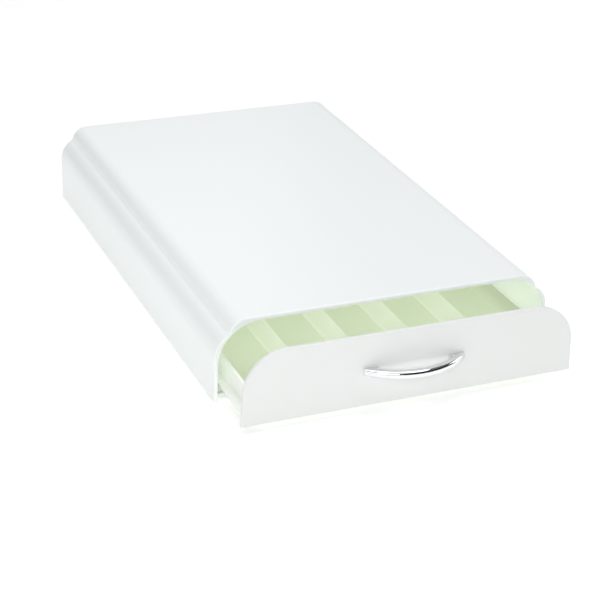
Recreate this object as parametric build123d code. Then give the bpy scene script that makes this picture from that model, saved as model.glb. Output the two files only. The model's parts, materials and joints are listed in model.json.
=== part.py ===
from build123d import *
import math
import os

os.makedirs("parts", exist_ok=True)

# All sizes are in millimetres. Heights are measured from the shell's lower edge,
# depths from the housing's front plane, with the drawer closed.

# Lanes and pods
lane_count = 5
pod_rim = 51.0
lane_clearance = 1.0         # pod rim to divider
divider_thickness = 2.0
divider_slot_depth = 0.8
divider_slot_clearance = 0.1
divider_crest_round = 0.6

# Roller guides, in the space between tray and housing wall
sheet = 1.2                  # rails and runners
roller_radius = 4.0
roller_width = 4.4
roller_gap = 0.3             # roller to the track above and below it
roller_side_gap = 0.6        # front roller to the rail's web
roller_rim_round = 0.4
axle_radius = 1.2
axle_clearance = 0.05
axle_head_radius = 2.2
axle_head_height = 0.8
axle_head_gap = 0.2          # roller to axle head
guide_clearance = 1.4        # front axle head to runner
rail_lip = 0.6               # rail flange beyond the roller
rail_front_gap = 0.8         # closed drawer front to the rail ends
roller_front_gap = 0.4       # rail end to the front roller's tread
flange_gap = 0.4             # runner flange to the rail's upper flange
runner_flange_gap = 1.0      # runner flange edge to the rail's web
runner_lift = 0.4            # tray bottom to runner bottom
rail_stop_thickness = 2.0
rail_stop_height = 3.0
rear_roller_inset = 17.0     # tray end to rear axle
runner_end_inset = 11.0      # tray end to runner end
stop_gap = 0.4
held_inside = 134.0          # drawer length left in the housing when fully open

# Screws
wood_screw_radius = 1.0
wood_screw_head = 2.1
wood_screw_skin = 0.6        # plastic left beyond the tip
rail_screw_neck = 0.2        # straight bore under the countersink
runner_screw_head_height = 0.7
runner_screw_gap = 0.2       # runner screw head to the rear roller
screw_end_inset = 36.0       # outer screws from a rail's or runner's ends
rail_screw_inset = 3.0       # rail screws from the web
runner_screw_rise = 1.6      # runner screws above the axles
front_screw_radius = 1.5
front_screw_head = 2.8
front_screw_head_height = 1.6
front_screw_skin = 1.0
handle_screw_radius = 2.0
handle_screw_head = 3.6
handle_screw_head_height = 2.2
handle_screw_bite = 6.0
base_screw_bite = 6.0
base_pilot_spare = 1.0
screw_tip_gap = 0.2
screw_clearance = 0.05
hole_clearance = 0.25

# Housing
side_wall = 2.9
housing_depth = 450.0
housing_height = 70.8
top_wall = 2.9
back_wall = 2.9
shoulder_inset = 11.6        # side face to the foot of the raised top
shoulder_rise = 12.6         # foot of the raised top to its crown
shoulder_radius = 21.0
top_edge_radius = 15.0
outer_edge_round = 2.0
mouth_corner_radius = 35.5
boss_gap = 0.8               # boss to tray
boss_length = 10.0
boss_height = 9.0
boss_root = 0.5              # how far a boss runs into the walls

# Base panel, slid into grooves in the side walls
base_lift = 0.8
base_thickness = 3.0
base_front_inset = 1.0
groove_depth = 1.3
groove_clearance = 0.1
base_end_clearance = 0.2

# Drawer
rest_open = 51.0             # how far the drawer stands open at rest
panel_thickness = 3.0
panel_lift = 0.8             # base panel to drawer front
panel_side_gap = 0.8         # panel to mouth, each side
panel_top_gap = 0.7
panel_side_draft = 2.4       # each side narrows this much from bottom to top
panel_corner_relief = 0.5    # panel corner radius beyond the mouth's
panel_edge_round = 0.6
tray_wall = 2.6
tray_floor = 2.2
tray_lift = 2.2              # base panel to tray
tray_back_gap = 6.0          # closed tray to the housing's back wall
tray_corner_round = 2.0
tray_screw_clearance = 1.8   # tray walls to the handle screws above them

# Handle
handle_length = 88.0
handle_reach = 20.0
handle_end_reach = 3.0       # outer face of the bow to the drawer front, at its ends
handle_band_height = 6.2
handle_band_depth = 6.6
handle_edge_round = 1.6
handle_hole_spacing = 69.0
handle_post_radius = 4.2
handle_post_reach = 3.0
handle_post_inset = 0.4      # post flats inside the band's height

# Feet
foot_proud = 1.5             # feet stand this far below the shell
foot_radius = 7.0
foot_inset_x = 22.0
foot_inset_y = 26.0
foot_round = 0.6

through = 1.0                # extra length that carries a cut past a face
join_gap = 0.02              # axle ends short of the walls behind them

# Widths
lane_pitch = pod_rim + lane_clearance + divider_thickness
tray_half = lane_count * lane_pitch / 2 + tray_wall / 2
rail_depth = sheet + roller_side_gap + roller_width + rail_lip
guide_space = sheet + guide_clearance + axle_head_height + axle_head_gap
guide_space += roller_width + roller_side_gap + sheet
inner_half = tray_half + guide_space
half_width = inner_half + side_wall
web_face = inner_half - sheet
runner_face = tray_half + sheet
front_roller_in = web_face - roller_side_gap - roller_width
rear_roller_in = runner_face + runner_screw_head_height + runner_screw_gap
panel_half = inner_half - panel_side_gap
divider_xs = [(i - (lane_count - 2) / 2) * lane_pitch for i in range(lane_count - 1)]

# Heights
mouth_top = housing_height - top_wall
base_top = base_lift + base_thickness
panel_bottom = base_top + panel_lift
panel_top = mouth_top - panel_top_gap
handle_height = (panel_bottom + panel_top) / 2
tray_bottom = base_top + tray_lift
tray_floor_top = tray_bottom + tray_floor
tray_wall_top = handle_height - handle_screw_head - tray_screw_clearance
front_screw_z = (tray_floor_top + tray_wall_top) / 2
lower_flange_top = base_top + sheet
axle_z = lower_flange_top + roller_gap + roller_radius
runner_screw_z = axle_z + runner_screw_rise
runner_flange_low = axle_z + roller_radius + roller_gap
runner_flange_top = runner_flange_low + sheet
upper_flange_low = runner_flange_top + flange_gap
rail_top = upper_flange_low + sheet

# Depths
inner_back = housing_depth - back_wall
tray_front = panel_thickness
tray_end = inner_back - tray_back_gap
rear_roller_y = tray_end - rear_roller_inset
runner_end = tray_end - runner_end_inset
rail_front = panel_thickness + rail_front_gap
front_roller_y = rail_front + roller_front_gap + roller_radius
drawer_travel = housing_depth - held_inside
stop_reach = roller_radius + stop_gap
in_stop_y = rear_roller_y + stop_reach
out_stop_y = rear_roller_y - drawer_travel - stop_reach - rail_stop_thickness
rail_end = in_stop_y + rail_stop_thickness
total_front = rest_open + handle_reach
centre_shift_y = -(housing_depth - total_front) / 2


def place(shape):
    return Pos(0, centre_shift_y, foot_proud) * shape


def place_drawer(shape):
    return Pos(0, centre_shift_y - rest_open, foot_proud) * shape


def save(name, shape):
    export_step(place(shape), "parts/" + name + ".step")


def save_drawer(name, shape):
    export_step(place_drawer(shape), "parts/" + name + ".step")


def block(x0, x1, y0, y1, z0, z1):
    size = Box(x1 - x0, y1 - y0, z1 - z0)
    return Pos((x0 + x1) / 2, (y0 + y1) / 2, (z0 + z1) / 2) * size


def side_block(side, x0, x1, y0, y1, z0, z1):
    if side > 0:
        return block(x0, x1, y0, y1, z0, z1)
    return block(-x1, -x0, y0, y1, z0, z1)


def rod_x(side, radius, x0, x1, y, z):
    body = Rot(0, 90, 0) * Cylinder(radius, x1 - x0)
    return Pos(side * (x0 + x1) / 2, y, z) * body


def rod_y(radius, x, y0, y1, z):
    body = Rot(90, 0, 0) * Cylinder(radius, y1 - y0)
    return Pos(x, (y0 + y1) / 2, z) * body


def rod_z(radius, x, y, z0, z1):
    return Pos(x, y, (z0 + z1) / 2) * Cylinder(radius, z1 - z0)


def prism(face, y0, y1):
    # The face is drawn as (x, height) and stretched along the depth.
    solid = extrude(Plane.XZ * face, amount=-(y1 - y0))
    return Pos(0, y0, 0) * solid


def screw_rows(start, end):
    first = start + screw_end_inset
    last = end - screw_end_inset
    return [first, (first + last) / 2, last]


# Housing shell: upright sides, a rounded shoulder, then the raised top
shoulder_drop = math.sqrt(shoulder_radius ** 2 - (shoulder_radius - shoulder_inset) ** 2)
shoulder_height = housing_height - shoulder_rise
shoulder_start = shoulder_height - shoulder_drop
shoulder_centre_x = half_width - shoulder_radius
riser_x = half_width - shoulder_inset
edge_centre_z = housing_height - top_edge_radius
edge_drop = shoulder_height - edge_centre_z
edge_centre_x = riser_x - math.sqrt(top_edge_radius ** 2 - edge_drop ** 2)
shoulder_angle = math.atan2(shoulder_drop, riser_x - shoulder_centre_x) / 2
shoulder_mid_x = shoulder_centre_x + shoulder_radius * math.cos(shoulder_angle)
shoulder_mid_z = shoulder_start + shoulder_radius * math.sin(shoulder_angle)
edge_mid = top_edge_radius * math.sqrt(0.5)


def profile_side(s):
    low = (s * half_width, 0)
    start = (s * half_width, shoulder_start)
    middle = (s * shoulder_mid_x, shoulder_mid_z)
    foot = (s * riser_x, shoulder_height)
    turn = (s * (edge_centre_x + edge_mid), edge_centre_z + edge_mid)
    crown = (s * edge_centre_x, housing_height)
    return [
        Line(low, start),
        ThreePointArc(start, middle, foot),
        ThreePointArc(foot, turn, crown),
    ]


outline = profile_side(1) + profile_side(-1)
outline.append(Line((edge_centre_x, housing_height), (-edge_centre_x, housing_height)))
outline.append(Line((-half_width, 0), (half_width, 0)))
shell = prism(make_face(outline), 0, housing_depth)

end_edges = shell.faces().sort_by(Axis.Y)[0].edges() + shell.faces().sort_by(Axis.Y)[-1].edges()
rim_edges = [e for e in end_edges if e.center().Z > join_gap]
shell = fillet(rim_edges, outer_edge_round)

# The mouth runs out below, so that the shell is open underneath.
mouth = Polyline(
    (-inner_half, -through),
    (inner_half, -through),
    (inner_half, mouth_top),
    (-inner_half, mouth_top),
    close=True,
)
mouth_face = make_face(mouth)
mouth_corners = [v for v in mouth_face.vertices() if v.Y > 0]
mouth_face = fillet(mouth_corners, mouth_corner_radius)
shell = shell - prism(mouth_face, -through, inner_back)

groove_low = base_lift - groove_clearance
groove_top = base_top + groove_clearance
groove_out = inner_half + groove_depth
boss_width = guide_space - boss_gap
boss_x = inner_half - boss_width / 2
boss_y = inner_back - boss_length / 2
base_screw_tip = groove_top + base_screw_bite
base_screw_radius = front_screw_radius + screw_clearance
for side in (-1, 1):
    groove = side_block(side, inner_half - through, groove_out, -through, inner_back, groove_low,
                        groove_top)
    shell = shell - groove
    boss = side_block(side, inner_half - boss_width, inner_half + boss_root, inner_back - boss_length,
                      inner_back + boss_root, groove_top, groove_top + boss_height)
    pilot_top = base_screw_tip + base_pilot_spare
    pilot = rod_z(base_screw_radius, side * boss_x, boss_y, groove_top - through, pilot_top)
    shell = shell + boss - pilot
save("housing_shell", shell)

# Base panel
base_half = groove_out - base_end_clearance
base = block(-base_half, base_half, base_front_inset, inner_back - base_end_clearance, base_lift, base_top)

rail_screw_x = web_face - rail_screw_inset
rail_screw_rows = screw_rows(rail_front, rail_end)
rail_screw_tip = base_lift + wood_screw_skin
wood_screw_bore = wood_screw_radius + screw_clearance
base_screw_neck = base_lift + front_screw_head_height
for side in (-1, 1):
    head_room = rod_z(front_screw_head + hole_clearance, side * boss_x, boss_y, base_lift - through,
                      base_screw_neck)
    shank_room = rod_z(front_screw_radius + hole_clearance, side * boss_x, boss_y, base_lift,
                       base_top + through)
    base = base - head_room - shank_room
    for y in rail_screw_rows:
        base = base - rod_z(wood_screw_bore, side * rail_screw_x, y, rail_screw_tip - screw_tip_gap,
                            base_top + through)
save("base_panel", base)

base_screws = []
for side in (-1, 1):
    head = rod_z(front_screw_head, side * boss_x, boss_y, base_lift, base_screw_neck)
    shank = rod_z(front_screw_radius, side * boss_x, boss_y, base_screw_neck, base_screw_tip)
    base_screws.append(head + shank)
save("base_screws", Compound(children=base_screws))

# Guide rails, fixed to the base panel beside each wall
countersink_height = sheet - rail_screw_neck
countersink_low = lower_flange_top - countersink_height


def screw_cone(side, y, spare):
    cone = Cone(wood_screw_radius + spare, wood_screw_head + spare, countersink_height)
    return Pos(side * rail_screw_x, y, countersink_low + countersink_height / 2) * cone


def guide_rail(side):
    flange_edge = inner_half - rail_depth
    web = side_block(side, web_face, inner_half, rail_front, rail_end, base_top, rail_top)
    lower = side_block(side, flange_edge, inner_half, rail_front, rail_end, base_top, lower_flange_top)
    upper = side_block(side, flange_edge, inner_half, rail_front, rail_end, upper_flange_low, rail_top)
    rail = web + lower + upper
    for y in (out_stop_y, in_stop_y):
        lug = side_block(side, flange_edge + rail_lip, inner_half, y, y + rail_stop_thickness, base_top,
                         lower_flange_top + rail_stop_height)
        rail = rail + lug
    axle_hole = rod_x(side, axle_radius + screw_clearance, web_face - through, inner_half + through,
                      front_roller_y, axle_z)
    rail = rail - axle_hole
    for y in rail_screw_rows:
        bore = rod_z(wood_screw_bore, side * rail_screw_x, y, base_top - through, lower_flange_top)
        rail = rail - bore - screw_cone(side, y, screw_clearance)
    return rail


save("left_guide_rail", guide_rail(-1))
save("right_guide_rail", guide_rail(1))

rail_screws = []
for side in (-1, 1):
    for y in rail_screw_rows:
        shank = rod_z(wood_screw_radius, side * rail_screw_x, y, rail_screw_tip, countersink_low)
        rail_screws.append(screw_cone(side, y, 0) + shank)
save("rail_screws", Compound(children=rail_screws))


# Rollers and axles
def roller(side, x0, y):
    wheel = rod_x(side, roller_radius, x0, x0 + roller_width, y, axle_z)
    rims = wheel.edges().filter_by(GeomType.CIRCLE)
    wheel = fillet(rims, roller_rim_round)
    bore = rod_x(side, axle_radius + axle_clearance, x0 - through, x0 + roller_width + through, y, axle_z)
    return wheel - bore


save("left_front_roller", roller(-1, front_roller_in, front_roller_y))
save("right_front_roller", roller(1, front_roller_in, front_roller_y))
save_drawer("left_rear_roller", roller(-1, rear_roller_in, rear_roller_y))
save_drawer("right_rear_roller", roller(1, rear_roller_in, rear_roller_y))

front_head_out = front_roller_in - axle_head_gap
front_head_in = front_head_out - axle_head_height
rear_head_in = rear_roller_in + roller_width + axle_head_gap
rear_head_out = rear_head_in + axle_head_height
front_axles = []
rear_axles = []
for side in (-1, 1):
    pin = rod_x(side, axle_radius, front_head_in, inner_half - join_gap, front_roller_y, axle_z)
    head = rod_x(side, axle_head_radius, front_head_in, front_head_out, front_roller_y, axle_z)
    front_axles.append(pin + head)
    pin = rod_x(side, axle_radius, tray_half + join_gap, rear_head_out, rear_roller_y, axle_z)
    head = rod_x(side, axle_head_radius, rear_head_in, rear_head_out, rear_roller_y, axle_z)
    rear_axles.append(pin + head)
save("front_roller_axles", Compound(children=front_axles))
save_drawer("rear_roller_axles", Compound(children=rear_axles))

# Drawer tray
tray = block(-tray_half, tray_half, tray_front, tray_end, tray_bottom, tray_wall_top)
tray_inner_half = tray_half - tray_wall
tray_inner_front = tray_front + tray_wall
tray_inner_end = tray_end - tray_wall
tray = tray - block(-tray_inner_half, tray_inner_half, tray_inner_front, tray_inner_end,
                    tray_floor_top, tray_wall_top + through)
back_corners = [e for e in tray.edges().filter_by(Axis.Z) if e.center().Y > tray_end - join_gap]
tray = fillet(back_corners, tray_corner_round)

slot_half = divider_thickness / 2 + divider_slot_clearance
slot_front = tray_inner_front - divider_slot_depth
slot_end = tray_inner_end + divider_slot_depth
divider_low = tray_floor_top - divider_slot_depth
for x in divider_xs:
    tray = tray - block(x - slot_half, x + slot_half, slot_front, slot_end, divider_low,
                        tray_wall_top + through)

front_screw_xs = [-2 * lane_pitch, -lane_pitch, lane_pitch, 2 * lane_pitch]
runner_screw_tip = tray_inner_half + wood_screw_skin
runner_screw_rows = screw_rows(tray_front, runner_end)
for x in front_screw_xs:
    tray = tray - rod_y(front_screw_radius + hole_clearance, x, tray_front - through,
                        tray_inner_front + through, front_screw_z)
for side in (-1, 1):
    for y in runner_screw_rows:
        tray = tray - rod_x(side, wood_screw_bore, runner_screw_tip - screw_tip_gap, tray_half + through,
                            y, runner_screw_z)
save_drawer("drawer_tray", tray)

for number, x in enumerate(divider_xs, start=1):
    strip = block(x - divider_thickness / 2, x + divider_thickness / 2, slot_front + divider_slot_clearance,
                  slot_end - divider_slot_clearance, divider_low, tray_wall_top)
    crest = strip.edges().filter_by(Axis.Y).group_by(Axis.Z)[-1]
    save_drawer("divider_" + str(number), fillet(crest, divider_crest_round))

# Drawer front
panel_outline = Polyline(
    (-panel_half, panel_bottom),
    (panel_half, panel_bottom),
    (panel_half - panel_side_draft, panel_top),
    (-panel_half + panel_side_draft, panel_top),
    close=True,
)
panel_face = make_face(panel_outline)
upper_corners = [v for v in panel_face.vertices() if v.Y > handle_height]
panel_face = fillet(upper_corners, mouth_corner_radius + panel_corner_relief)
panel = prism(panel_face, 0, panel_thickness)
panel = fillet(panel.faces().sort_by(Axis.Y)[0].edges(), panel_edge_round)
for x in front_screw_xs:
    panel = panel - rod_y(front_screw_radius + screw_clearance, x, front_screw_skin - screw_tip_gap,
                          panel_thickness + through, front_screw_z)
for side in (-1, 1):
    panel = panel - rod_y(handle_screw_radius + hole_clearance, side * handle_hole_spacing / 2, -through,
                          panel_thickness + through, handle_height)
save_drawer("drawer_front", panel)

front_screws = []
for x in front_screw_xs:
    head = rod_y(front_screw_head, x, tray_inner_front, tray_inner_front + front_screw_head_height,
                 front_screw_z)
    shank = rod_y(front_screw_radius, x, front_screw_skin, tray_inner_front, front_screw_z)
    front_screws.append(head + shank)
save_drawer("front_screws", Compound(children=front_screws))

# Bow handle: a band bent to one arc, with blunt ends against the drawer front and a
# flat-sided post behind each end for its screw
bow_rise = handle_reach - handle_end_reach
bow_outer_radius = ((handle_length / 2) ** 2 + bow_rise ** 2) / (2 * bow_rise)
band_low = handle_height - handle_band_height / 2
band_top = handle_height + handle_band_height / 2
ring = Circle(bow_outer_radius) - Circle(bow_outer_radius - handle_band_depth)
hoop = Pos(0, bow_outer_radius - handle_reach, band_low) * extrude(ring, amount=handle_band_height)
hoop = fillet(hoop.edges().filter_by(GeomType.CIRCLE), handle_edge_round)
bow = hoop & block(-handle_length / 2, handle_length / 2, -handle_reach - through, through, 0,
                   housing_height)
post_room = block(-handle_length, handle_length, -handle_post_reach, 0, band_low + handle_post_inset,
                  band_top - handle_post_inset)
for side in (-1, 1):
    post = rod_y(handle_post_radius, side * handle_hole_spacing / 2, -handle_post_reach, 0, handle_height)
    bow = bow + (post & post_room)
bow = bow - block(-handle_length, handle_length, 0, handle_reach, 0, housing_height)
for side in (-1, 1):
    bow = bow - rod_y(handle_screw_radius + screw_clearance, side * handle_hole_spacing / 2,
                      -handle_screw_bite - screw_tip_gap, through, handle_height)
save_drawer("handle_bow", bow)

handle_screws = []
for side in (-1, 1):
    x = side * handle_hole_spacing / 2
    head = rod_y(handle_screw_head, x, panel_thickness, panel_thickness + handle_screw_head_height,
                 handle_height)
    shank = rod_y(handle_screw_radius, x, -handle_screw_bite, panel_thickness, handle_height)
    handle_screws.append(head + shank)
save_drawer("handle_screws", Compound(children=handle_screws))


# Runners on the tray sides
def runner(side):
    plate = side_block(side, tray_half, runner_face, tray_front, runner_end, tray_bottom + runner_lift,
                       runner_flange_top)
    flange = side_block(side, tray_half, web_face - runner_flange_gap, tray_front, runner_end,
                        runner_flange_low, runner_flange_top)
    strip = plate + flange
    strip = strip - rod_x(side, axle_radius + screw_clearance, tray_half - through, runner_face + through,
                          rear_roller_y, axle_z)
    for y in runner_screw_rows:
        strip = strip - rod_x(side, wood_screw_bore, tray_half - through, runner_face + through, y,
                              runner_screw_z)
    return strip


save_drawer("left_runner", runner(-1))
save_drawer("right_runner", runner(1))

runner_screws = []
for side in (-1, 1):
    for y in runner_screw_rows:
        head = rod_x(side, wood_screw_head, runner_face, runner_face + runner_screw_head_height, y,
                     runner_screw_z)
        shank = rod_x(side, wood_screw_radius, runner_screw_tip, runner_face, y, runner_screw_z)
        runner_screws.append(head + shank)
save_drawer("runner_screws", Compound(children=runner_screws))

# Feet, under the base panel
foot_places = {
    "front_left_foot": (-1, foot_inset_y),
    "front_right_foot": (1, foot_inset_y),
    "back_left_foot": (-1, housing_depth - foot_inset_y),
    "back_right_foot": (1, housing_depth - foot_inset_y),
}
for name, (side, y) in foot_places.items():
    foot = rod_z(foot_radius, side * (half_width - foot_inset_x), y, -foot_proud, base_lift)
    lower_rim = foot.edges().sort_by(Axis.Z)[0]
    save(name, fillet(lower_rim, foot_round))
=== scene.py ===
import json
import math

import bmesh
import bpy
from mathutils import Matrix, Vector


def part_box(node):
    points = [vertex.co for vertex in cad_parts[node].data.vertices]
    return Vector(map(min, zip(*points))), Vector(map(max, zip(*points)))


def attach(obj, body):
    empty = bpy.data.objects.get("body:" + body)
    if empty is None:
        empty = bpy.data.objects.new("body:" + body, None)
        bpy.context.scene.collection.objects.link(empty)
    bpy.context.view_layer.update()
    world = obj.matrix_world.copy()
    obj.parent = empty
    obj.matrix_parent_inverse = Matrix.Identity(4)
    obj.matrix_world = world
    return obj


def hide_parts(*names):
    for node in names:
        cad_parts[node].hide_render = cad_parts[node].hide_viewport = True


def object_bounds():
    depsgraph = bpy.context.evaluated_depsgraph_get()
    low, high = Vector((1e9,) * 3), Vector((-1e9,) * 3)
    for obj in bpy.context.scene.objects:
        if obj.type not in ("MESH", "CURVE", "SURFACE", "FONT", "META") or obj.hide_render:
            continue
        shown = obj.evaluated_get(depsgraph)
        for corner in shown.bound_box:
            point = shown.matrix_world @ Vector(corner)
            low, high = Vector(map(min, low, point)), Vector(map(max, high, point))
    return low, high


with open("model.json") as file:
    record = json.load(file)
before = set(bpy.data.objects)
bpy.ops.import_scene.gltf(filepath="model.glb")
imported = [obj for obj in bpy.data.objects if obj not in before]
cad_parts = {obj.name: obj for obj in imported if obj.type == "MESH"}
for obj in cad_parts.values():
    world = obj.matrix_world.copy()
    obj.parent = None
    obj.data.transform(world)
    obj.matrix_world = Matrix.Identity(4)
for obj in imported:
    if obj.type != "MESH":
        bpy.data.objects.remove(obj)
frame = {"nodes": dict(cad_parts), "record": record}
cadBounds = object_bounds()
nodes = frame["nodes"]
millimetre = 0.001

floorLevel = cadBounds[0][2]
shellLow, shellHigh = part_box("housing_shell")
print("stage: frame loaded")


# Shared surface effects
def addSocket(group, name, kind, direction, value=None):
    socket = group.interface.new_socket(name=name, in_out=direction, socket_type=kind)
    if value is not None:
        socket.default_value = value
    return socket


def addNode(tree, kind, place, **settings):
    node = tree.nodes.new(kind)
    node.location = place
    for key, value in settings.items():
        setattr(node, key, value)
    return node


def link(tree, fromSocket, toSocket):
    tree.links.new(fromSocket, toSocket)


def mapRange(tree, place, low, high, toLow, toHigh):
    node = addNode(tree, "ShaderNodeMapRange", place)
    node.inputs["From Min"].default_value = low
    node.inputs["From Max"].default_value = high
    node.inputs["To Min"].default_value = toLow
    node.inputs["To Max"].default_value = toHigh
    return node


def buildMouldedSkin():
    # Moulded plastic: fine orange peel, with a slow drift of gloss and a faint one of tint.
    group = bpy.data.node_groups.new("mouldedSkin", "ShaderNodeTree")
    addSocket(group, "Vector", "NodeSocketVector", "INPUT")
    addSocket(group, "Light Tint", "NodeSocketColor", "INPUT", (0.9, 0.9, 0.9, 1))
    addSocket(group, "Deep Tint", "NodeSocketColor", "INPUT", (0.85, 0.86, 0.85, 1))
    addSocket(group, "Roughness Low", "NodeSocketFloat", "INPUT", 0.25)
    addSocket(group, "Roughness High", "NodeSocketFloat", "INPUT", 0.35)
    addSocket(group, "Peel Size", "NodeSocketFloat", "INPUT", 300.0)
    addSocket(group, "Color", "NodeSocketColor", "OUTPUT")
    addSocket(group, "Roughness", "NodeSocketFloat", "OUTPUT")
    addSocket(group, "Height", "NodeSocketFloat", "OUTPUT")
    start = addNode(group, "NodeGroupInput", (-900, 0))
    end = addNode(group, "NodeGroupOutput", (500, 0))
    drift = addNode(group, "ShaderNodeTexNoise", (-600, 250))
    drift.inputs["Scale"].default_value = 5.0
    drift.inputs["Detail"].default_value = 0.0
    link(group, start.outputs["Vector"], drift.inputs["Vector"])
    tint = addNode(group, "ShaderNodeMix", (-200, 300), data_type="RGBA")
    spread = mapRange(group, (-400, 250), 0.35, 0.65, 0.0, 1.0)
    link(group, drift.outputs["Fac"], spread.inputs["Value"])
    link(group, spread.outputs["Result"], tint.inputs["Factor"])
    link(group, start.outputs["Light Tint"], tint.inputs["A"])
    link(group, start.outputs["Deep Tint"], tint.inputs["B"])
    link(group, tint.outputs["Result"], end.inputs["Color"])
    smear = addNode(group, "ShaderNodeTexNoise", (-600, 0))
    smear.inputs["Scale"].default_value = 24.0
    smear.inputs["Detail"].default_value = 1.0
    link(group, start.outputs["Vector"], smear.inputs["Vector"])
    gloss = addNode(group, "ShaderNodeMapRange", (-200, 0))
    gloss.inputs["From Min"].default_value = 0.3
    gloss.inputs["From Max"].default_value = 0.7
    link(group, smear.outputs["Fac"], gloss.inputs["Value"])
    link(group, start.outputs["Roughness Low"], gloss.inputs["To Min"])
    link(group, start.outputs["Roughness High"], gloss.inputs["To Max"])
    link(group, gloss.outputs["Result"], end.inputs["Roughness"])
    peel = addNode(group, "ShaderNodeTexNoise", (-600, -250))
    peel.inputs["Detail"].default_value = 2.0
    link(group, start.outputs["Vector"], peel.inputs["Vector"])
    link(group, start.outputs["Peel Size"], peel.inputs["Scale"])
    link(group, peel.outputs["Fac"], end.inputs["Height"])
    return group


def buildMetalSkin():
    # Plated and turned metal: fine lines along one axis over soft smears.
    group = bpy.data.node_groups.new("metalSkin", "ShaderNodeTree")
    addSocket(group, "Vector", "NodeSocketVector", "INPUT")
    addSocket(group, "Bright", "NodeSocketColor", "INPUT", (0.8, 0.8, 0.8, 1))
    addSocket(group, "Dull", "NodeSocketColor", "INPUT", (0.6, 0.6, 0.6, 1))
    addSocket(group, "Roughness Low", "NodeSocketFloat", "INPUT", 0.1)
    addSocket(group, "Roughness High", "NodeSocketFloat", "INPUT", 0.2)
    addSocket(group, "Color", "NodeSocketColor", "OUTPUT")
    addSocket(group, "Roughness", "NodeSocketFloat", "OUTPUT")
    addSocket(group, "Height", "NodeSocketFloat", "OUTPUT")
    start = addNode(group, "NodeGroupInput", (-900, 0))
    end = addNode(group, "NodeGroupOutput", (500, 0))
    stretch = addNode(group, "ShaderNodeMapping", (-700, -150))
    stretch.inputs["Scale"].default_value = (60.0, 900.0, 900.0)
    link(group, start.outputs["Vector"], stretch.inputs["Vector"])
    lines = addNode(group, "ShaderNodeTexNoise", (-480, -150))
    lines.inputs["Scale"].default_value = 1.0
    lines.inputs["Detail"].default_value = 4.0
    link(group, stretch.outputs["Vector"], lines.inputs["Vector"])
    smear = addNode(group, "ShaderNodeTexNoise", (-480, 150))
    smear.inputs["Scale"].default_value = 90.0
    smear.inputs["Detail"].default_value = 4.0
    link(group, start.outputs["Vector"], smear.inputs["Vector"])
    tint = addNode(group, "ShaderNodeMix", (-150, 250), data_type="RGBA")
    spread = mapRange(group, (-320, 200), 0.35, 0.7, 0.0, 1.0)
    link(group, smear.outputs["Fac"], spread.inputs["Value"])
    link(group, spread.outputs["Result"], tint.inputs["Factor"])
    link(group, start.outputs["Bright"], tint.inputs["A"])
    link(group, start.outputs["Dull"], tint.inputs["B"])
    link(group, tint.outputs["Result"], end.inputs["Color"])
    gloss = addNode(group, "ShaderNodeMapRange", (-150, 0))
    gloss.inputs["From Min"].default_value = 0.3
    gloss.inputs["From Max"].default_value = 0.7
    link(group, smear.outputs["Fac"], gloss.inputs["Value"])
    link(group, start.outputs["Roughness Low"], gloss.inputs["To Min"])
    link(group, start.outputs["Roughness High"], gloss.inputs["To Max"])
    link(group, gloss.outputs["Result"], end.inputs["Roughness"])
    link(group, lines.outputs["Fac"], end.inputs["Height"])
    return group


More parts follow.
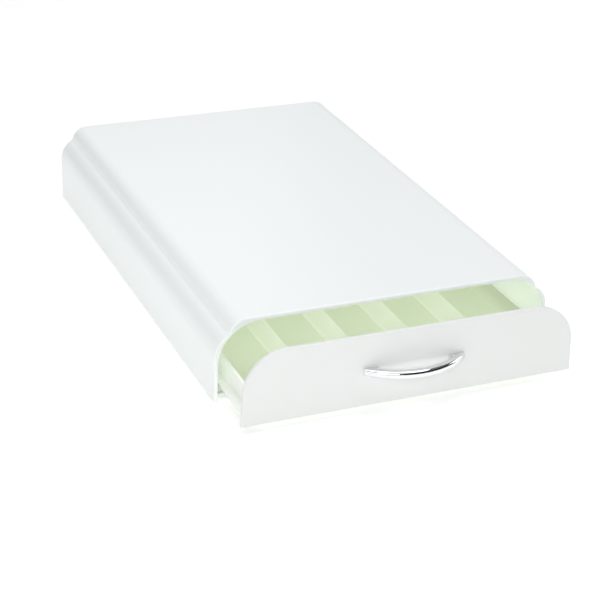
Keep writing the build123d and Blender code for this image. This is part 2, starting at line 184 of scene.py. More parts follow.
def buildPaintedMouthGlow():
    # Painted glow: an emission colour for the shell, which is no lamp, standing in for light; one
    # colour inside the mouth's outline, one outside.
    group = bpy.data.node_groups.new("paintedMouthGlow", "ShaderNodeTree")
    addSocket(group, "Vector", "NodeSocketVector", "INPUT")
    addSocket(group, "Corner Centre", "NodeSocketVector", "INPUT", (0.1, 0.0, 0.03))
    addSocket(group, "Corner Radius", "NodeSocketFloat", "INPUT", 0.036)
    addSocket(group, "Front", "NodeSocketFloat", "INPUT", -0.2)
    addSocket(group, "Painted Shell Glow", "NodeSocketColor", "INPUT", (0.08, 0.08, 0.08, 1))
    addSocket(group, "Painted Mouth Glow", "NodeSocketColor", "INPUT", (0.25, 0.28, 0.22, 1))
    addSocket(group, "Color", "NodeSocketColor", "OUTPUT")
    start = addNode(group, "NodeGroupInput", (-1200, 0))
    end = addNode(group, "NodeGroupOutput", (500, 0))
    mirror = addNode(group, "ShaderNodeVectorMath", (-1000, 0), operation="ABSOLUTE")
    offset = addNode(group, "ShaderNodeVectorMath", (-820, 0), operation="SUBTRACT")
    corner = addNode(group, "ShaderNodeVectorMath", (-640, 0), operation="MAXIMUM")
    corner.inputs[1].default_value = (0, 0, 0)
    flat = addNode(group, "ShaderNodeVectorMath", (-460, 0), operation="MULTIPLY")
    flat.inputs[1].default_value = (1, 0, 1)
    reach = addNode(group, "ShaderNodeVectorMath", (-280, 0), operation="LENGTH")
    within = addNode(group, "ShaderNodeMath", (-100, 0), operation="LESS_THAN")
    depth = addNode(group, "ShaderNodeSeparateXYZ", (-640, -250))
    behind = addNode(group, "ShaderNodeMath", (-280, -250), operation="GREATER_THAN")
    both = addNode(group, "ShaderNodeMath", (80, -100), operation="MULTIPLY")
    colour = addNode(group, "ShaderNodeMix", (280, 0), data_type="RGBA")
    link(group, start.outputs["Vector"], mirror.inputs[0])
    link(group, mirror.outputs["Vector"], offset.inputs[0])
    link(group, start.outputs["Corner Centre"], offset.inputs[1])
    link(group, offset.outputs["Vector"], corner.inputs[0])
    link(group, corner.outputs["Vector"], flat.inputs[0])
    link(group, flat.outputs["Vector"], reach.inputs[0])
    link(group, reach.outputs["Value"], within.inputs[0])
    link(group, start.outputs["Corner Radius"], within.inputs[1])
    link(group, start.outputs["Vector"], depth.inputs["Vector"])
    link(group, depth.outputs["Y"], behind.inputs[0])
    link(group, start.outputs["Front"], behind.inputs[1])
    link(group, within.outputs["Value"], both.inputs[0])
    link(group, behind.outputs["Value"], both.inputs[1])
    link(group, both.outputs["Value"], colour.inputs["Factor"])
    link(group, start.outputs["Painted Shell Glow"], colour.inputs["A"])
    link(group, start.outputs["Painted Mouth Glow"], colour.inputs["B"])
    link(group, colour.outputs["Result"], end.inputs["Color"])
    return group


mouldedSkin = buildMouldedSkin()
paintedMouthGlow = buildPaintedMouthGlow()
metalSkin = buildMetalSkin()


def makeMaterial(name, skin, values, shader, bumpDepth):
    material = bpy.data.materials.new(name)
    material.use_nodes = True
    tree = material.node_tree
    principled = tree.nodes["Principled BSDF"]
    coordinates = addNode(tree, "ShaderNodeTexCoord", (-900, 0))
    surface = addNode(tree, "ShaderNodeGroup", (-600, 0), node_tree=skin)
    for key, value in values.items():
        surface.inputs[key].default_value = value
    link(tree, coordinates.outputs["Object"], surface.inputs["Vector"])
    link(tree, surface.outputs["Color"], principled.inputs["Base Color"])
    link(tree, surface.outputs["Roughness"], principled.inputs["Roughness"])
    bump = addNode(tree, "ShaderNodeBump", (-300, -250))
    bump.inputs["Strength"].default_value = 1.0
    bump.inputs["Distance"].default_value = bumpDepth
    link(tree, surface.outputs["Height"], bump.inputs["Height"])
    link(tree, bump.outputs["Normal"], principled.inputs["Normal"])
    for key, value in shader.items():
        principled.inputs[key].default_value = value
    return material


def rgb(red, green, blue):
    return (red, green, blue, 1.0)


# Painted glow: emission strength 1 on the shell, its colour set by the painted mouth glow further
# down.
shellPlastic = makeMaterial("shellPlastic", mouldedSkin, {
    "Light Tint": rgb(0.846, 0.89, 0.874), "Deep Tint": rgb(0.844, 0.888, 0.871),
    "Roughness Low": 0.28, "Roughness High": 0.3, "Peel Size": 420.0,
}, {"IOR": 1.5, "Specular IOR Level": 0.45, "Emission Strength": 1.0}, 0.00003)
# Painted glow: a faint emission on the drawer front, which is no lamp.
frontPlastic = makeMaterial("frontPlastic", mouldedSkin, {
    "Light Tint": rgb(0.842, 0.868, 0.844), "Deep Tint": rgb(0.832, 0.858, 0.834),
    "Roughness Low": 0.3, "Roughness High": 0.4, "Peel Size": 420.0,
}, {
    "IOR": 1.5, "Specular IOR Level": 0.4,
    "Emission Color": rgb(0.97, 1.0, 0.97), "Emission Strength": 0.03,
}, 0.00003)
# Painted glow: emission on the tray's outer faces, which are no lamp.
trayPlastic = makeMaterial("trayPlastic", mouldedSkin, {
    "Light Tint": rgb(0.86, 0.885, 0.835), "Deep Tint": rgb(0.85, 0.877, 0.825),
    "Roughness Low": 0.3, "Roughness High": 0.42, "Peel Size": 520.0,
}, {
    "IOR": 1.5, "Specular IOR Level": 0.4,
    "Emission Color": rgb(0.97, 1.0, 0.93), "Emission Strength": 0.13,
}, 0.00003)
# Painted glow: emission on the tray's inside faces; this copy of the tray plastic is also darker
# and greener.
lanePlastic = makeMaterial("lanePlastic", mouldedSkin, {
    "Light Tint": rgb(0.79, 0.84, 0.71), "Deep Tint": rgb(0.783, 0.834, 0.702),
    "Roughness Low": 0.32, "Roughness High": 0.44, "Peel Size": 520.0,
}, {
    "IOR": 1.5, "Specular IOR Level": 0.4,
    "Emission Color": rgb(0.97, 1.0, 0.84), "Emission Strength": 0.105,
}, 0.00003)
# Painted light: a lighter copy of the tray plastic with more glow, standing in for the light that
# falls on the divider faces.
dividerPlasticPaintedLight = makeMaterial("dividerPlasticPaintedLight", mouldedSkin, {
    "Light Tint": rgb(0.83, 0.865, 0.775), "Deep Tint": rgb(0.823, 0.86, 0.768),
    "Roughness Low": 0.32, "Roughness High": 0.44, "Peel Size": 520.0,
}, {
    "IOR": 1.5, "Specular IOR Level": 0.4,
    "Emission Color": rgb(0.97, 1.0, 0.88), "Emission Strength": 0.17,
}, 0.00003)
# Painted glow: emission on the guide plastic parts, which are no lamp.
guidePlastic = makeMaterial("guidePlastic", mouldedSkin, {
    "Light Tint": rgb(0.8, 0.82, 0.78), "Deep Tint": rgb(0.77, 0.8, 0.75),
    "Roughness Low": 0.4, "Roughness High": 0.52, "Peel Size": 700.0,
}, {"IOR": 1.5, "Emission Color": rgb(0.93, 1.0, 0.86), "Emission Strength": 0.12}, 0.00003)
rollerNylon = makeMaterial("rollerNylon", mouldedSkin, {
    "Light Tint": rgb(0.72, 0.74, 0.66), "Deep Tint": rgb(0.67, 0.69, 0.61),
    "Roughness Low": 0.38, "Roughness High": 0.5, "Peel Size": 900.0,
}, {"IOR": 1.53}, 0.00003)
footRubber = makeMaterial("footRubber", mouldedSkin, {
    "Light Tint": rgb(0.3, 0.31, 0.31), "Deep Tint": rgb(0.24, 0.25, 0.25),
    "Roughness Low": 0.65, "Roughness High": 0.8, "Peel Size": 1200.0,
}, {"IOR": 1.45}, 0.00006)
handleChrome = makeMaterial("handleChrome", metalSkin, {
    "Bright": rgb(0.86, 0.87, 0.88), "Dull": rgb(0.8, 0.81, 0.83),
    "Roughness Low": 0.04, "Roughness High": 0.09,
}, {"Metallic": 1.0}, 0.000002)
screwSteel = makeMaterial("screwSteel", metalSkin, {
    "Bright": rgb(0.62, 0.63, 0.64), "Dull": rgb(0.48, 0.49, 0.5),
    "Roughness Low": 0.28, "Roughness High": 0.42,
}, {"Metallic": 1.0}, 0.00001)
axleSteel = makeMaterial("axleSteel", metalSkin, {
    "Bright": rgb(0.58, 0.59, 0.6), "Dull": rgb(0.46, 0.47, 0.48),
    "Roughness Low": 0.2, "Roughness High": 0.34,
}, {"Metallic": 1.0}, 0.00001)

mouth = {
    "sideWall": 2.9 * millimetre,
    "topWall": 2.9 * millimetre,
    "cornerRadius": 35.5 * millimetre,
    "slack": 0.4 * millimetre,
    "frontEdge": 2.0 * millimetre,
    # Painted glow colours standing in for light: a faint one over the shell outside the mouth, a
    # brighter, greener one on the inner walls inside it.
    "paintedShellGlow": (0.084, 0.087, 0.087),
    "paintedMouthGlow": (0.19, 0.21, 0.16),
}


# Paints glow on the shell through its emission colour, brighter inside the mouth.
def paintMouthGlow(material):
    tree = material.node_tree
    light = addNode(tree, "ShaderNodeGroup", (-600, 350), node_tree=paintedMouthGlow)
    light.inputs["Corner Centre"].default_value = (
        shellHigh.x - mouth["sideWall"] - mouth["cornerRadius"], 0,
        shellHigh.z - mouth["topWall"] - mouth["cornerRadius"])
    light.inputs["Corner Radius"].default_value = mouth["cornerRadius"] + mouth["slack"]
    light.inputs["Front"].default_value = shellLow.y + mouth["frontEdge"]
    light.inputs["Painted Shell Glow"].default_value = rgb(*mouth["paintedShellGlow"])
    light.inputs["Painted Mouth Glow"].default_value = rgb(*mouth["paintedMouthGlow"])
    coordinates = addNode(tree, "ShaderNodeTexCoord", (-900, 350))
    link(tree, coordinates.outputs["Object"], light.inputs["Vector"])
    link(tree, light.outputs["Color"], tree.nodes["Principled BSDF"].inputs["Emission Color"])


paintMouthGlow(shellPlastic)

slotMaterials = {
    "shell_plastic": shellPlastic,
    "front_plastic": frontPlastic,
    "tray_plastic": trayPlastic,
    "guide_plastic": guidePlastic,
    "roller_nylon": rollerNylon,
    "handle_chrome": handleChrome,
    "screw_steel": screwSteel,
    "axle_steel": axleSteel,
    "foot_rubber": footRubber,
}


def dress(piece, material):
    piece.data.materials.clear()
    piece.data.materials.append(material)


for row in frame["record"]["subparts"]:
    dress(nodes[row["node"]], slotMaterials[row["material_slot"]])
print("stage: materials on the frame")


# Modelling helpers
def clearSelection():
    if bpy.context.object and bpy.context.object.mode != "OBJECT":
        bpy.ops.object.mode_set(mode="OBJECT")
    bpy.ops.object.select_all(action="DESELECT")


def startEdit(piece):
    clearSelection()
    piece.select_set(True)
    bpy.context.view_layer.objects.active = piece
    bpy.ops.object.mode_set(mode="EDIT")
    bpy.ops.mesh.select_all(action="DESELECT")


def endEdit():
    bpy.ops.object.mode_set(mode="OBJECT")


def pickFaces(piece, wanted):
    bpy.ops.mesh.select_all(action="DESELECT")
    bpy.ops.mesh.select_mode(type="FACE")
    mesh = bmesh.from_edit_mesh(piece.data)
    for face in mesh.faces:
        face.select_set(bool(wanted(face.calc_center_median(), face.normal)))
    mesh.select_flush_mode()
    bmesh.update_edit_mesh(piece.data)


def pickEdges(piece, wanted):
    bpy.ops.mesh.select_all(action="DESELECT")
    bpy.ops.mesh.select_mode(type="EDGE")
    mesh = bmesh.from_edit_mesh(piece.data)
    for edge in mesh.edges:
        ends = [corner.co for corner in edge.verts]
        edge.select_set(bool(wanted((ends[0] + ends[1]) / 2, (ends[1] - ends[0]).normalized())))
    bmesh.update_edit_mesh(piece.data)


def addCube(name, low, high):
    clearSelection()
    bpy.ops.mesh.primitive_cube_add(size=1, location=(low + high) / 2, scale=high - low)
    bpy.ops.object.transform_apply(location=True, rotation=True, scale=True)
    piece = bpy.context.object
    piece.name = name
    return piece


def addCylinder(name, radius, length, vertices):
    # Stands on the origin, along Z, so that it can be turned into place afterwards.
    clearSelection()
    bpy.ops.mesh.primitive_cylinder_add(radius=radius, depth=length, vertices=vertices,
                                        location=(0, 0, length / 2))
    bpy.ops.object.transform_apply(location=True, rotation=True, scale=True)
    piece = bpy.context.object
    piece.name = name
    return piece


def softenEdges(piece, degrees):
    clearSelection()
    piece.select_set(True)
    bpy.context.view_layer.objects.active = piece
    bpy.ops.object.shade_smooth_by_angle(angle=math.radians(degrees))


def roundEdges(width, segments):
    bpy.ops.mesh.bevel(offset=width, offset_type="OFFSET", segments=segments, profile=0.5,
                       affect="EDGES", clamp_overlap=True)


def copyPiece(piece, name, placing):
    twin = piece.copy()
    twin.data = piece.data.copy()
    twin.name = name
    twin.data.transform(placing)
    bpy.context.scene.collection.objects.link(twin)
    return twin


def settle(piece, material, body, replaced):
    dress(piece, material)
    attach(piece, body)
    if replaced:
        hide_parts(*replaced)


def removePiece(piece):
    bpy.data.objects.remove(piece, do_unlink=True)


def near(first, second, slack=0.02 * millimetre):
    return abs(first - second) < slack


# Lane tray and its dividers
laneTray = {
    "wall": 2.6 * millimetre,
    "floor": 2.2 * millimetre,
    "cornerRound": 2.0 * millimetre,
    "floorCove": 1.4 * millimetre,
    "rimRound": 0.5 * millimetre,
}


def buildTray():
    low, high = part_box("drawer_tray")
    tray = addCube("laneTray", low, high)
    wall = laneTray["wall"]
    startEdit(tray)
    pickEdges(tray, lambda middle, way: abs(way.z) > 0.9 and near(middle.y, high.y))
    roundEdges(laneTray["cornerRound"], 5)
    pickFaces(tray, lambda centre, normal: normal.z > 0.9)
    bpy.ops.mesh.inset(thickness=wall, depth=0)
    bpy.ops.mesh.extrude_region_move(
        TRANSFORM_OT_translate={"value": (0, 0, low.z + laneTray["floor"] - high.z)})
    floorTop = low.z + laneTray["floor"]
    pickEdges(tray, lambda middle, way: near(middle.z, floorTop))
    roundEdges(laneTray["floorCove"], 4)
    pickEdges(tray, lambda middle, way: near(middle.z, high.z) and abs(way.z) < 0.1)
    roundEdges(laneTray["rimRound"], 3)
    pickEdges(tray, lambda middle, way: near(middle.z, low.z) and abs(way.z) < 0.1)
    roundEdges(laneTray["rimRound"], 3)
    endEdit()
    softenEdges(tray, 50)
    settle(tray, trayPlastic, "drawer", ["drawer_tray"])
    # The inside faces get the darker, greener lane copy with its own painted glow.
    tray.data.materials.append(lanePlastic)
    startEdit(tray)
    inner = wall * 0.8
    pickFaces(tray, lambda centre, normal: low.x + inner < centre.x < high.x - inner
              and low.y + inner < centre.y < high.y - inner
              and centre.z > low.z + 0.5 * laneTray["floor"])
    tray.active_material_index = 1
    bpy.ops.object.material_slot_assign()
    endEdit()
    tray.active_material_index = 0


laneDivider = {
    "topTaper": 0.78,       # crest width against the foot's
    "crestRound": 0.45 * millimetre,
    "footCove": 1.2 * millimetre,
    "coveRound": 0.4 * millimetre,
    "coveSink": 0.05 * millimetre,
}


def buildDividers():
    low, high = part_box("divider_1")
    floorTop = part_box("drawer_tray")[0].z + laneTray["floor"]
    strip = addCube("laneDivider", low, high)
    startEdit(strip)
    pickFaces(strip, lambda centre, normal: normal.z > 0.9)
    bpy.ops.transform.resize(value=(laneDivider["topTaper"], 1, 1))
    pickEdges(strip, lambda middle, way: near(middle.z, high.z) and abs(way.y) > 0.9)
    roundEdges(laneDivider["crestRound"], 4)
    endEdit()
    softenEdges(strip, 50)
    cove = laneDivider["footCove"]
    footBottom = floorTop - laneDivider["coveSink"]
    foot = addCube("dividerFoot", Vector((low.x - cove, low.y + cove, footBottom)),
                   Vector((high.x + cove, high.y - cove, floorTop + cove)))
    startEdit(foot)
    pickFaces(foot, lambda centre, normal: normal.z > 0.9)
    bpy.ops.transform.resize(value=((high.x - low.x) / (high.x - low.x + 2 * cove), 1, 1))
    pickEdges(foot, lambda middle, way: near(middle.z, floorTop + cove) and abs(way.y) > 0.9)
    roundEdges(laneDivider["coveRound"], 3)
    endEdit()
    softenEdges(foot, 70)
    clearSelection()
    foot.select_set(True)
    strip.select_set(True)
    bpy.context.view_layer.objects.active = strip
    bpy.ops.object.join()
    for number in range(1, 5):
        shift = Matrix.Translation((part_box("divider_" + str(number))[0].x - low.x, 0, 0))
        divider = copyPiece(strip, "laneDivider" + str(number), shift)
        settle(divider, dividerPlasticPaintedLight, "drawer", ["divider_" + str(number)])
    removePiece(strip)


# Bow handle
bowHandle = {
    "depth": 6.6 * millimetre,
    "frontRound": 2.6 * millimetre,
    "backRound": 1.3 * millimetre,
    "endReach": 3.0 * millimetre,
    "endRound": 0.7 * millimetre,
    "sweep": 110.0,         # degrees spun before the ends are cut at the drawer front
    "steps": 72,
    "footRadius": 4.2 * millimetre,
    "footInset": 0.4 * millimetre,
    "footReach": 3.0 * millimetre,
    "footRound": 0.3 * millimetre,
    "screwSpacing": 69.0 * millimetre,
}


def buildHandle():
    low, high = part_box("handle_bow")
    height = high.z - low.z
    depth = bowHandle["depth"]
    frontFace = high.y
    reach = frontFace - low.y
    rise = reach - bowHandle["endReach"]
    outerRadius = (high.x ** 2 + rise ** 2) / (2 * rise)
    bowCentre = Vector((0, low.y + outerRadius, (low.z + high.z) / 2))
    clearSelection()
    bpy.ops.mesh.primitive_plane_add(size=1, location=(0, low.y + depth / 2, bowCentre.z),
                                     rotation=(0, math.pi / 2, 0))
    bpy.ops.object.transform_apply(location=True, rotation=True, scale=True)
    handle = bpy.context.object
    handle.name = "bowHandle"
    startEdit(handle)
    bpy.ops.mesh.select_all(action="SELECT")
    bpy.ops.transform.resize(value=(1, depth, height))
    middleY = low.y + depth / 2
    bpy.ops.mesh.select_mode(type="VERT")
    for front, radius, segments in ((True, bowHandle["frontRound"], 10),
                                    (False, bowHandle["backRound"], 6)):
        bpy.ops.mesh.select_all(action="DESELECT")
        mesh = bmesh.from_edit_mesh(handle.data)
        for corner in mesh.verts:
            corner.select_set((corner.co.y < middleY) == front)
        bmesh.update_edit_mesh(handle.data)
        bpy.ops.mesh.bevel(offset=radius, offset_type="OFFSET", segments=segments, profile=0.5,
                           affect="VERTICES")
    bpy.ops.mesh.select_all(action="SELECT")
    bpy.ops.transform.rotate(value=-math.radians(bowHandle["sweep"] / 2), orient_axis="Z",
                             center_override=bowCentre)
    bpy.ops.mesh.spin(steps=bowHandle["steps"], angle=math.radians(bowHandle["sweep"]),
                      center=bowCentre, axis=(0, 0, 1))
    bpy.ops.mesh.select_all(action="SELECT")
    bpy.ops.mesh.remove_doubles(threshold=0.001 * millimetre)
    for cutPlace, cutWay in (((0, frontFace, 0), (0, 1, 0)), ((high.x, 0, 0), (1, 0, 0)),
                             ((low.x, 0, 0), (-1, 0, 0))):
        bpy.ops.mesh.select_all(action="SELECT")
        bpy.ops.mesh.bisect(plane_co=cutPlace, plane_no=cutWay, use_fill=True, clear_outer=True)
    bpy.ops.mesh.select_all(action="SELECT")
    bpy.ops.mesh.normals_make_consistent(inside=False)
    pickEdges(handle, lambda middle, way: near(abs(middle.x), high.x) and middle.y < frontFace
              - bowHandle["endRound"] * 0.2 and abs(way.x) < 0.5)
    roundEdges(bowHandle["endRound"], 3)
    endEdit()
    softenEdges(handle, 40)
    for side in (-1, 1):
        foot = addCylinder("handleFoot", bowHandle["footRadius"], bowHandle["footReach"], 40)
        turn = Matrix.Rotation(math.pi / 2, 4, "X")
        place = Vector((side * bowHandle["screwSpacing"] / 2, frontFace, bowCentre.z))
        foot.data.transform(Matrix.Translation(place) @ turn)
        startEdit(foot)
        for up in (-1, 1):
            cutLevel = bowCentre.z + up * (height / 2 - bowHandle["footInset"])
            bpy.ops.mesh.select_all(action="SELECT")
            bpy.ops.mesh.bisect(plane_co=(0, 0, cutLevel), plane_no=(0, 0, up),
                                use_fill=True, clear_outer=True)
        pickEdges(foot, lambda middle, way: abs(way.x) > 0.9 and middle.y > low.y)
        roundEdges(bowHandle["footRound"], 3)
        endEdit()
        softenEdges(foot, 40)
        clearSelection()
        foot.select_set(True)
        handle.select_set(True)
        bpy.context.view_layer.objects.active = handle
        bpy.ops.object.join()
    settle(handle, handleChrome, "drawer", ["handle_bow"])


# Rollers: one is modelled, the others are copies
roller = {
    "bore": 1.25 * millimetre,
    "rimRound": 0.4 * millimetre,
    "webInset": 0.8 * millimetre,
    "webDepth": 0.5 * millimetre,
    "webDraft": 0.12 * millimetre,
    "hubRadius": 2.1 * millimetre,
    "hubDraft": 0.1 * millimetre,
    "hubRise": 0.9,         # share of the web's depth
    "boreDraft": 0.02 * millimetre,
    "boreDepth": 1.2 * millimetre,
}


def buildRollers():
    low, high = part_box("left_front_roller")
    width = high.x - low.x
    radius = (high.z - low.z) / 2
    wheel = addCylinder("guideRoller", radius, width, 56)
    startEdit(wheel)
    pickEdges(wheel, lambda middle, way: abs(way.z) < 0.1)
    roundEdges(roller["rimRound"], 4)
    webRadius = radius - roller["webInset"]
    webDraft, hubDraft = roller["webDraft"], roller["hubDraft"]
    for level, outward in ((width, 1), (0, -1)):
        pickFaces(wheel, lambda centre, normal: normal.z * outward > 0.99 and near(centre.z, level))
        bpy.ops.mesh.inset(thickness=roller["webInset"] - roller["rimRound"], depth=0)
        bpy.ops.mesh.inset(thickness=webDraft, depth=-roller["webDepth"])
        bpy.ops.mesh.inset(thickness=webRadius - webDraft - roller["hubRadius"], depth=0)
        bpy.ops.mesh.inset(thickness=hubDraft, depth=roller["webDepth"] * roller["hubRise"])
        bpy.ops.mesh.inset(thickness=roller["hubRadius"] - hubDraft - roller["bore"], depth=0)
        bpy.ops.mesh.inset(thickness=roller["boreDraft"], depth=-roller["boreDepth"])
    endEdit()
    softenEdges(wheel, 35)
    turn = Matrix.Rotation(math.pi / 2, 4, "Y")
    for name in ("left_front_roller", "right_front_roller",
                 "left_rear_roller", "right_rear_roller"):
        low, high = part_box(name)
        place = Vector((low.x, (low.y + high.y) / 2, (low.z + high.z) / 2))
        copy = copyPiece(wheel, "guide_" + name, Matrix.Translation(place) @ turn)
        settle(copy, rollerNylon, name, [name])
    removePiece(wheel)


# Cross-recess screws
screwHead = {
    "domeRound": 0.4,       # share of the head's height
    "recessReach": 0.62,    # share of the head's radius
    "recessWidth": 0.22,
    "recessDepth": 0.62,    # share of the head's height
    "pointWidth": 0.7,      # tip against shank
    "recessTaper": 0.75,
    "spin": 37,             # degrees from one screw to the next
}

screwSizes = {              # head radius, head height, shank radius
    "front": (2.8 * millimetre, 1.6 * millimetre, 1.5 * millimetre),
    "handle": (3.6 * millimetre, 2.2 * millimetre, 2.0 * millimetre),
    "base": (2.8 * millimetre, 1.6 * millimetre, 1.5 * millimetre),
    "runner": (2.1 * millimetre, 0.7 * millimetre, 1.0 * millimetre),
    "rail": (2.1 * millimetre, 1.0 * millimetre, 1.0 * millimetre),
}
runnerShank = 3.2 * millimetre


def modelScrew(headRadius, headHeight, shankRadius, shankLength, countersunk):
    screw = addCylinder("screwPattern", headRadius, headHeight, 48)
    startEdit(screw)
    if countersunk:
        pickFaces(screw, lambda centre, normal: normal.z < -0.9)
        bpy.ops.transform.resize(value=(shankRadius / headRadius, shankRadius / headRadius, 1))
    else:
        pickEdges(screw, lambda middle, way: near(middle.z, headHeight) and abs(way.z) < 0.1)
        roundEdges(headHeight * screwHead["domeRound"], 5)
        pickFaces(screw, lambda centre, normal: normal.z < -0.9)
        bpy.ops.mesh.inset(thickness=headRadius - shankRadius, depth=0)
    bpy.ops.mesh.extrude_region_move(TRANSFORM_OT_translate={"value": (0, 0, -shankLength)})
    bpy.ops.transform.resize(value=(screwHead["pointWidth"], screwHead["pointWidth"], 1))
    endEdit()
    reach = headRadius * screwHead["recessReach"]
    half = headRadius * screwHead["recessWidth"] / 2
    bottom = headHeight * (1 - screwHead["recessDepth"])
    for size in ((reach, half), (half, reach)):
        bar = addCube("recessBar", Vector((-size[0], -size[1], bottom)),
                      Vector((size[0], size[1], headHeight * 1.5)))
        startEdit(bar)
        pickFaces(bar, lambda centre, normal: normal.z < -0.9)
        bpy.ops.transform.resize(value=(screwHead["recessTaper"], screwHead["recessTaper"], 1))
        endEdit()
        clearSelection()
        screw.select_set(True)
        bpy.context.view_layer.objects.active = screw
        cut = screw.modifiers.new("recess", "BOOLEAN")
        cut.operation = "DIFFERENCE"
        cut.object = bar
        bpy.ops.object.modifier_apply(modifier=cut.name)
        removePiece(bar)
    softenEdges(screw, 35)
    return screw


def placeScrews(pattern, title, node, body, places, turn):
    for number, place in enumerate(places, start=1):
        spin = Matrix.Rotation(math.radians(screwHead["spin"] * number), 4, "Z")
        screw = copyPiece(pattern, title + str(number), Matrix.Translation(place) @ turn @ spin)
        settle(screw, screwSteel, body, [node])
    removePiece(pattern)


def buildScrews():
    towardBack = Matrix.Rotation(-math.pi / 2, 4, "X")
    downward = Matrix.Rotation(math.pi, 4, "X")
    # Through the tray's front wall into the drawer front
    low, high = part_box("front_screws")
    headRadius, headHeight, shankRadius = screwSizes["front"]
    seat = high.y - headHeight
    middle = (low.z + high.z) / 2
    edge = high.x - headRadius
    pattern = modelScrew(headRadius, headHeight, shankRadius, seat - low.y, False)
    places = [(x, seat, middle) for x in (-edge, -edge / 2, edge / 2, edge)]
    placeScrews(pattern, "frontScrew", "front_screws", "drawer", places, towardBack)
    # Handle screws, behind the drawer front
    low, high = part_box("handle_screws")
    headRadius, headHeight, shankRadius = screwSizes["handle"]
    seat = high.y - headHeight
    middle = (low.z + high.z) / 2
    edge = high.x - headRadius
    pattern = modelScrew(headRadius, headHeight, shankRadius, seat - low.y, False)
    places = [(x, seat, middle) for x in (-edge, edge)]
    placeScrews(pattern, "handleScrew", "handle_screws", "drawer", places, towardBack)
    # Base panel screws, driven from below
    low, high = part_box("base_screws")
    headRadius, headHeight, shankRadius = screwSizes["base"]
    seat = low.z + headHeight
    edge = high.x - headRadius
    middle = (low.y + high.y) / 2
    pattern = modelScrew(headRadius, headHeight, shankRadius, high.z - seat, False)
    places = [(x, middle, seat) for x in (-edge, edge)]
    placeScrews(pattern, "baseScrew", "base_screws", "housing", places, downward)
    # Runner screws, from each side into the tray wall
    low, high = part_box("runner_screws")
    headRadius, headHeight, shankRadius = screwSizes["runner"]
    seat = high.x - headHeight
    middle = (low.z + high.z) / 2
    rows = (low.y + headRadius, (low.y + high.y) / 2, high.y - headRadius)
    for side, title in ((-1, "leftRunnerScrew"), (1, "rightRunnerScrew")):
        pattern = modelScrew(headRadius, headHeight, shankRadius, runnerShank, False)
        places = [(side * seat, row, middle) for row in rows]
        turn = Matrix.Rotation(side * math.pi / 2, 4, "Y")
        placeScrews(pattern, title, "runner_screws", "drawer", places, turn)
    # Countersunk screws in the guide rails
    low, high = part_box("rail_screws")
    headRadius, headHeight, shankRadius = screwSizes["rail"]
    edge = high.x - headRadius
    rows = (low.y + headRadius, (low.y + high.y) / 2, high.y - headRadius)
    pattern = modelScrew(headRadius, headHeight, shankRadius, high.z - low.z - headHeight, True)
    places = [(side * edge, row, high.z - headHeight) for side in (-1, 1) for row in rows]
    placeScrews(pattern, "railScrew", "rail_screws", "housing", places, Matrix.Identity(4))


# Rubber feet
rubberFoot = {
    "edgeRound": 0.5 * millimetre,
    "rimWidth": 1.6 * millimetre,
    "dish": 0.35 * millimetre,
}


def buildFeet():
    low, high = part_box("front_left_foot")
    radius = (high.x - low.x) / 2
    height = high.z - low.z
    pad = addCylinder("rubberFoot", radius, height, 64)
    startEdit(pad)
    pickEdges(pad, lambda middle, way: near(middle.z, 0) and abs(way.z) < 0.1)
    roundEdges(rubberFoot["edgeRound"], 4)
    pickFaces(pad, lambda centre, normal: normal.z < -0.99 and near(centre.z, 0))
    bpy.ops.mesh.inset(thickness=rubberFoot["rimWidth"], depth=0)
    bpy.ops.mesh.inset(thickness=rubberFoot["dish"], depth=-rubberFoot["dish"])
    endEdit()
    softenEdges(pad, 35)
    for name in ("front_left_foot", "front_right_foot", "back_left_foot", "back_right_foot"):
        low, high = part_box(name)
        place = Vector(((low.x + high.x) / 2, (low.y + high.y) / 2, low.z))
        copy = copyPiece(pad, "rubber_" + name, Matrix.Translation(place))
        settle(copy, footRubber, "housing", [name])
    removePiece(pad)


buildTray()
buildDividers()
print("stage: tray and dividers")
buildHandle()
print("stage: handle")
buildRollers()
print("stage: rollers")
buildScrews()
print("stage: screws")
buildFeet()
print("stage: feet")


# Floor, light and camera
floorLook = {
    "size": 12.0,
    "drop": 0.0002,         # below the feet, so that the two don't flicker
    "colour": (0.95, 0.95, 0.95),
    "glow": 0.24,
}


def buildFloor():
    clearSelection()
    bpy.ops.mesh.primitive_plane_add(size=floorLook["size"],
                                     location=(0, 0, floorLevel - floorLook["drop"]))
    floor = bpy.context.object
    floor.name = "floor"
    bpy.ops.object.transform_apply(location=True, rotation=True, scale=True)
    material = bpy.data.materials.new("paleFloor")
    material.use_nodes = True
    tree = material.node_tree
    principled = tree.nodes["Principled BSDF"]
    coordinates = addNode(tree, "ShaderNodeTexCoord", (-700, 0))
    grain = addNode(tree, "ShaderNodeTexNoise", (-500, 0))
    grain.inputs["Scale"].default_value = 3.0
    link(tree, coordinates.outputs["Object"], grain.inputs["Vector"])
    tint = addNode(tree, "ShaderNodeMix", (-250, 0), data_type="RGBA")
    tint.inputs["A"].default_value = rgb(*floorLook["colour"])
    tint.inputs["B"].default_value = rgb(*(channel * 0.99 for channel in floorLook["colour"]))
    link(tree, grain.outputs["Fac"], tint.inputs["Factor"])
    link(tree, tint.outputs["Result"], principled.inputs["Base Color"])
    principled.inputs["Roughness"].default_value = 0.9
    principled.inputs["Specular IOR Level"].default_value = 0.0
    principled.inputs["Emission Color"].default_value = (1, 1, 1, 1)
    principled.inputs["Emission Strength"].default_value = floorLook["glow"]
    dress(floor, material)
    return floor


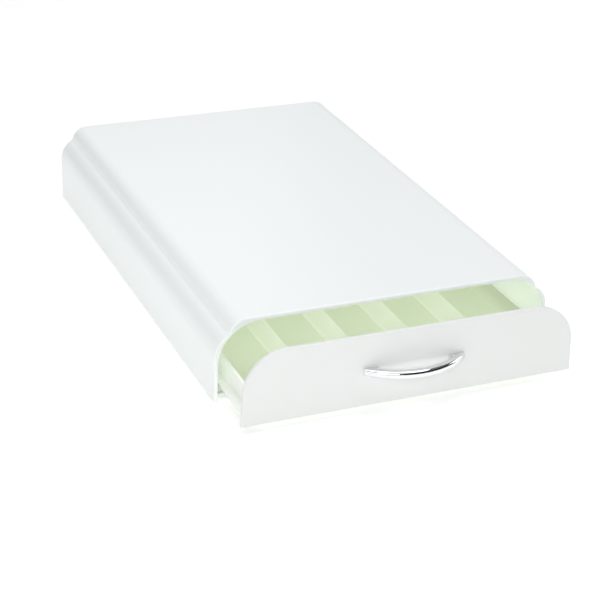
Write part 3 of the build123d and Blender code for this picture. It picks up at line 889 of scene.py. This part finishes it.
studio = {
    "ambient": 0.15,
    "aim": (0, 0, 0.03),
    "softboxes": {          # place, size, watts, colour
        "topSoftbox": ((0, 0.1, 1.7), (1.8, 1.8), 21.6, (1.0, 0.98, 1.01)),
        "backSoftbox": ((0, 1.7, 1.2), (1.6, 1.0), 4.0, (1, 1, 1)),
        "cameraSoftbox": ((-0.62, -1.55, 0.85), (0.8, 0.6), 6.7, (1, 1, 1)),
        "leftSoftbox": ((-1.3, -1.4, 0.7), (1.2, 0.9), 5.2, (1, 1, 1)),
        "rightSoftbox": ((1.9, -0.1, 0.8), (1.2, 0.9), 10.5, (1, 1, 1)),
    },
}


def addSoftbox(name, place, size, power, colour):
    light = bpy.data.lights.new(name, "AREA")
    light.shape = "RECTANGLE"
    light.size = size[0]
    light.size_y = size[1]
    light.energy = power
    light.color = colour
    lamp = bpy.data.objects.new(name, light)
    bpy.context.scene.collection.objects.link(lamp)
    direction = Vector(studio["aim"]) - Vector(place)
    turn = direction.to_track_quat("-Z", "Y").to_matrix().to_4x4()
    lamp.matrix_world = Matrix.Translation(Vector(place)) @ turn


darkReflectionCard = {
    "azimuth": 38.0,        # degrees right of straight ahead, seen from the drawer front
    "distance": 2.0,
    "width": 3.6,
    "height": 1.9,
    "colour": (0.012, 0.012, 0.014),
    "weaveColour": (0.02, 0.02, 0.022),
}


def buildReflectionCard():
    # Painted reflection: a black card beside the camera, hidden from camera, diffuse and shadow
    # rays, there only to put a dark line in the bright metal.
    azimuth = math.radians(darkReflectionCard["azimuth"])
    place = (math.sin(azimuth) * darkReflectionCard["distance"], -math.cos(azimuth) * darkReflectionCard["distance"],
             darkReflectionCard["height"] / 2)
    clearSelection()
    bpy.ops.mesh.primitive_plane_add(size=1, location=place, rotation=(math.pi / 2, 0, azimuth))
    card = bpy.context.object
    card.name = "darkReflectionCard"
    card.scale = (darkReflectionCard["width"], darkReflectionCard["height"], 1)
    bpy.ops.object.transform_apply(location=True, rotation=True, scale=True)
    material = bpy.data.materials.new("reflectionOnlyBlack")
    material.use_nodes = True
    principled = material.node_tree.nodes["Principled BSDF"]
    coordinates = addNode(material.node_tree, "ShaderNodeTexCoord", (-700, 0))
    weave = addNode(material.node_tree, "ShaderNodeTexNoise", (-500, 0))
    weave.inputs["Scale"].default_value = 40.0
    tint = addNode(material.node_tree, "ShaderNodeMix", (-250, 0), data_type="RGBA")
    tint.inputs["A"].default_value = rgb(*darkReflectionCard["colour"])
    tint.inputs["B"].default_value = rgb(*darkReflectionCard["weaveColour"])
    link(material.node_tree, coordinates.outputs["Object"], weave.inputs["Vector"])
    link(material.node_tree, weave.outputs["Fac"], tint.inputs["Factor"])
    link(material.node_tree, tint.outputs["Result"], principled.inputs["Base Color"])
    principled.inputs["Roughness"].default_value = 0.95
    dress(card, material)
    card.visible_camera = False
    card.visible_diffuse = False
    card.visible_shadow = False


def buildLight():
    world = bpy.data.worlds.new("studio")
    bpy.context.scene.world = world
    world.use_nodes = True
    background = world.node_tree.nodes["Background"]
    background.inputs["Color"].default_value = (1, 1, 1, 1)
    background.inputs["Strength"].default_value = studio["ambient"]
    for name, (place, size, power, colour) in studio["softboxes"].items():
        addSoftbox(name, place, size, power, colour)


cameraView = {
    "azimuth": 23.394,       # degrees right of straight in from the front
    "elevation": 26.153,
    "roll": 2.098,
    "distance": 1.4575,
    "lens": 103.257,
    "targetX": -0.0419,
    "targetY": -0.1062,
    "targetZ": 0.0369,
}


def buildCamera():
    lens = bpy.data.cameras.new("viewCamera")
    lens.sensor_width = 36.0
    lens.lens = cameraView["lens"]
    lens.clip_start = 0.05
    lens.clip_end = 50.0
    camera = bpy.data.objects.new("viewCamera", lens)
    bpy.context.scene.collection.objects.link(camera)
    azimuth = math.radians(cameraView["azimuth"])
    elevation = math.radians(cameraView["elevation"])
    forward = Vector((
        math.sin(azimuth) * math.cos(elevation),
        math.cos(azimuth) * math.cos(elevation),
        -math.sin(elevation),
    ))
    target = Vector((cameraView["targetX"], cameraView["targetY"], cameraView["targetZ"]))
    place = target - forward * cameraView["distance"]
    turn = forward.to_track_quat("-Z", "Y").to_matrix().to_4x4()
    roll = Matrix.Rotation(math.radians(cameraView["roll"]), 4, "Z")
    camera.matrix_world = Matrix.Translation(place) @ turn @ roll
    bpy.context.scene.camera = camera


buildFloor()
buildReflectionCard()
buildLight()
buildCamera()
bpy.context.scene.view_settings.view_transform = "Standard"
print("stage: floor, light and camera")
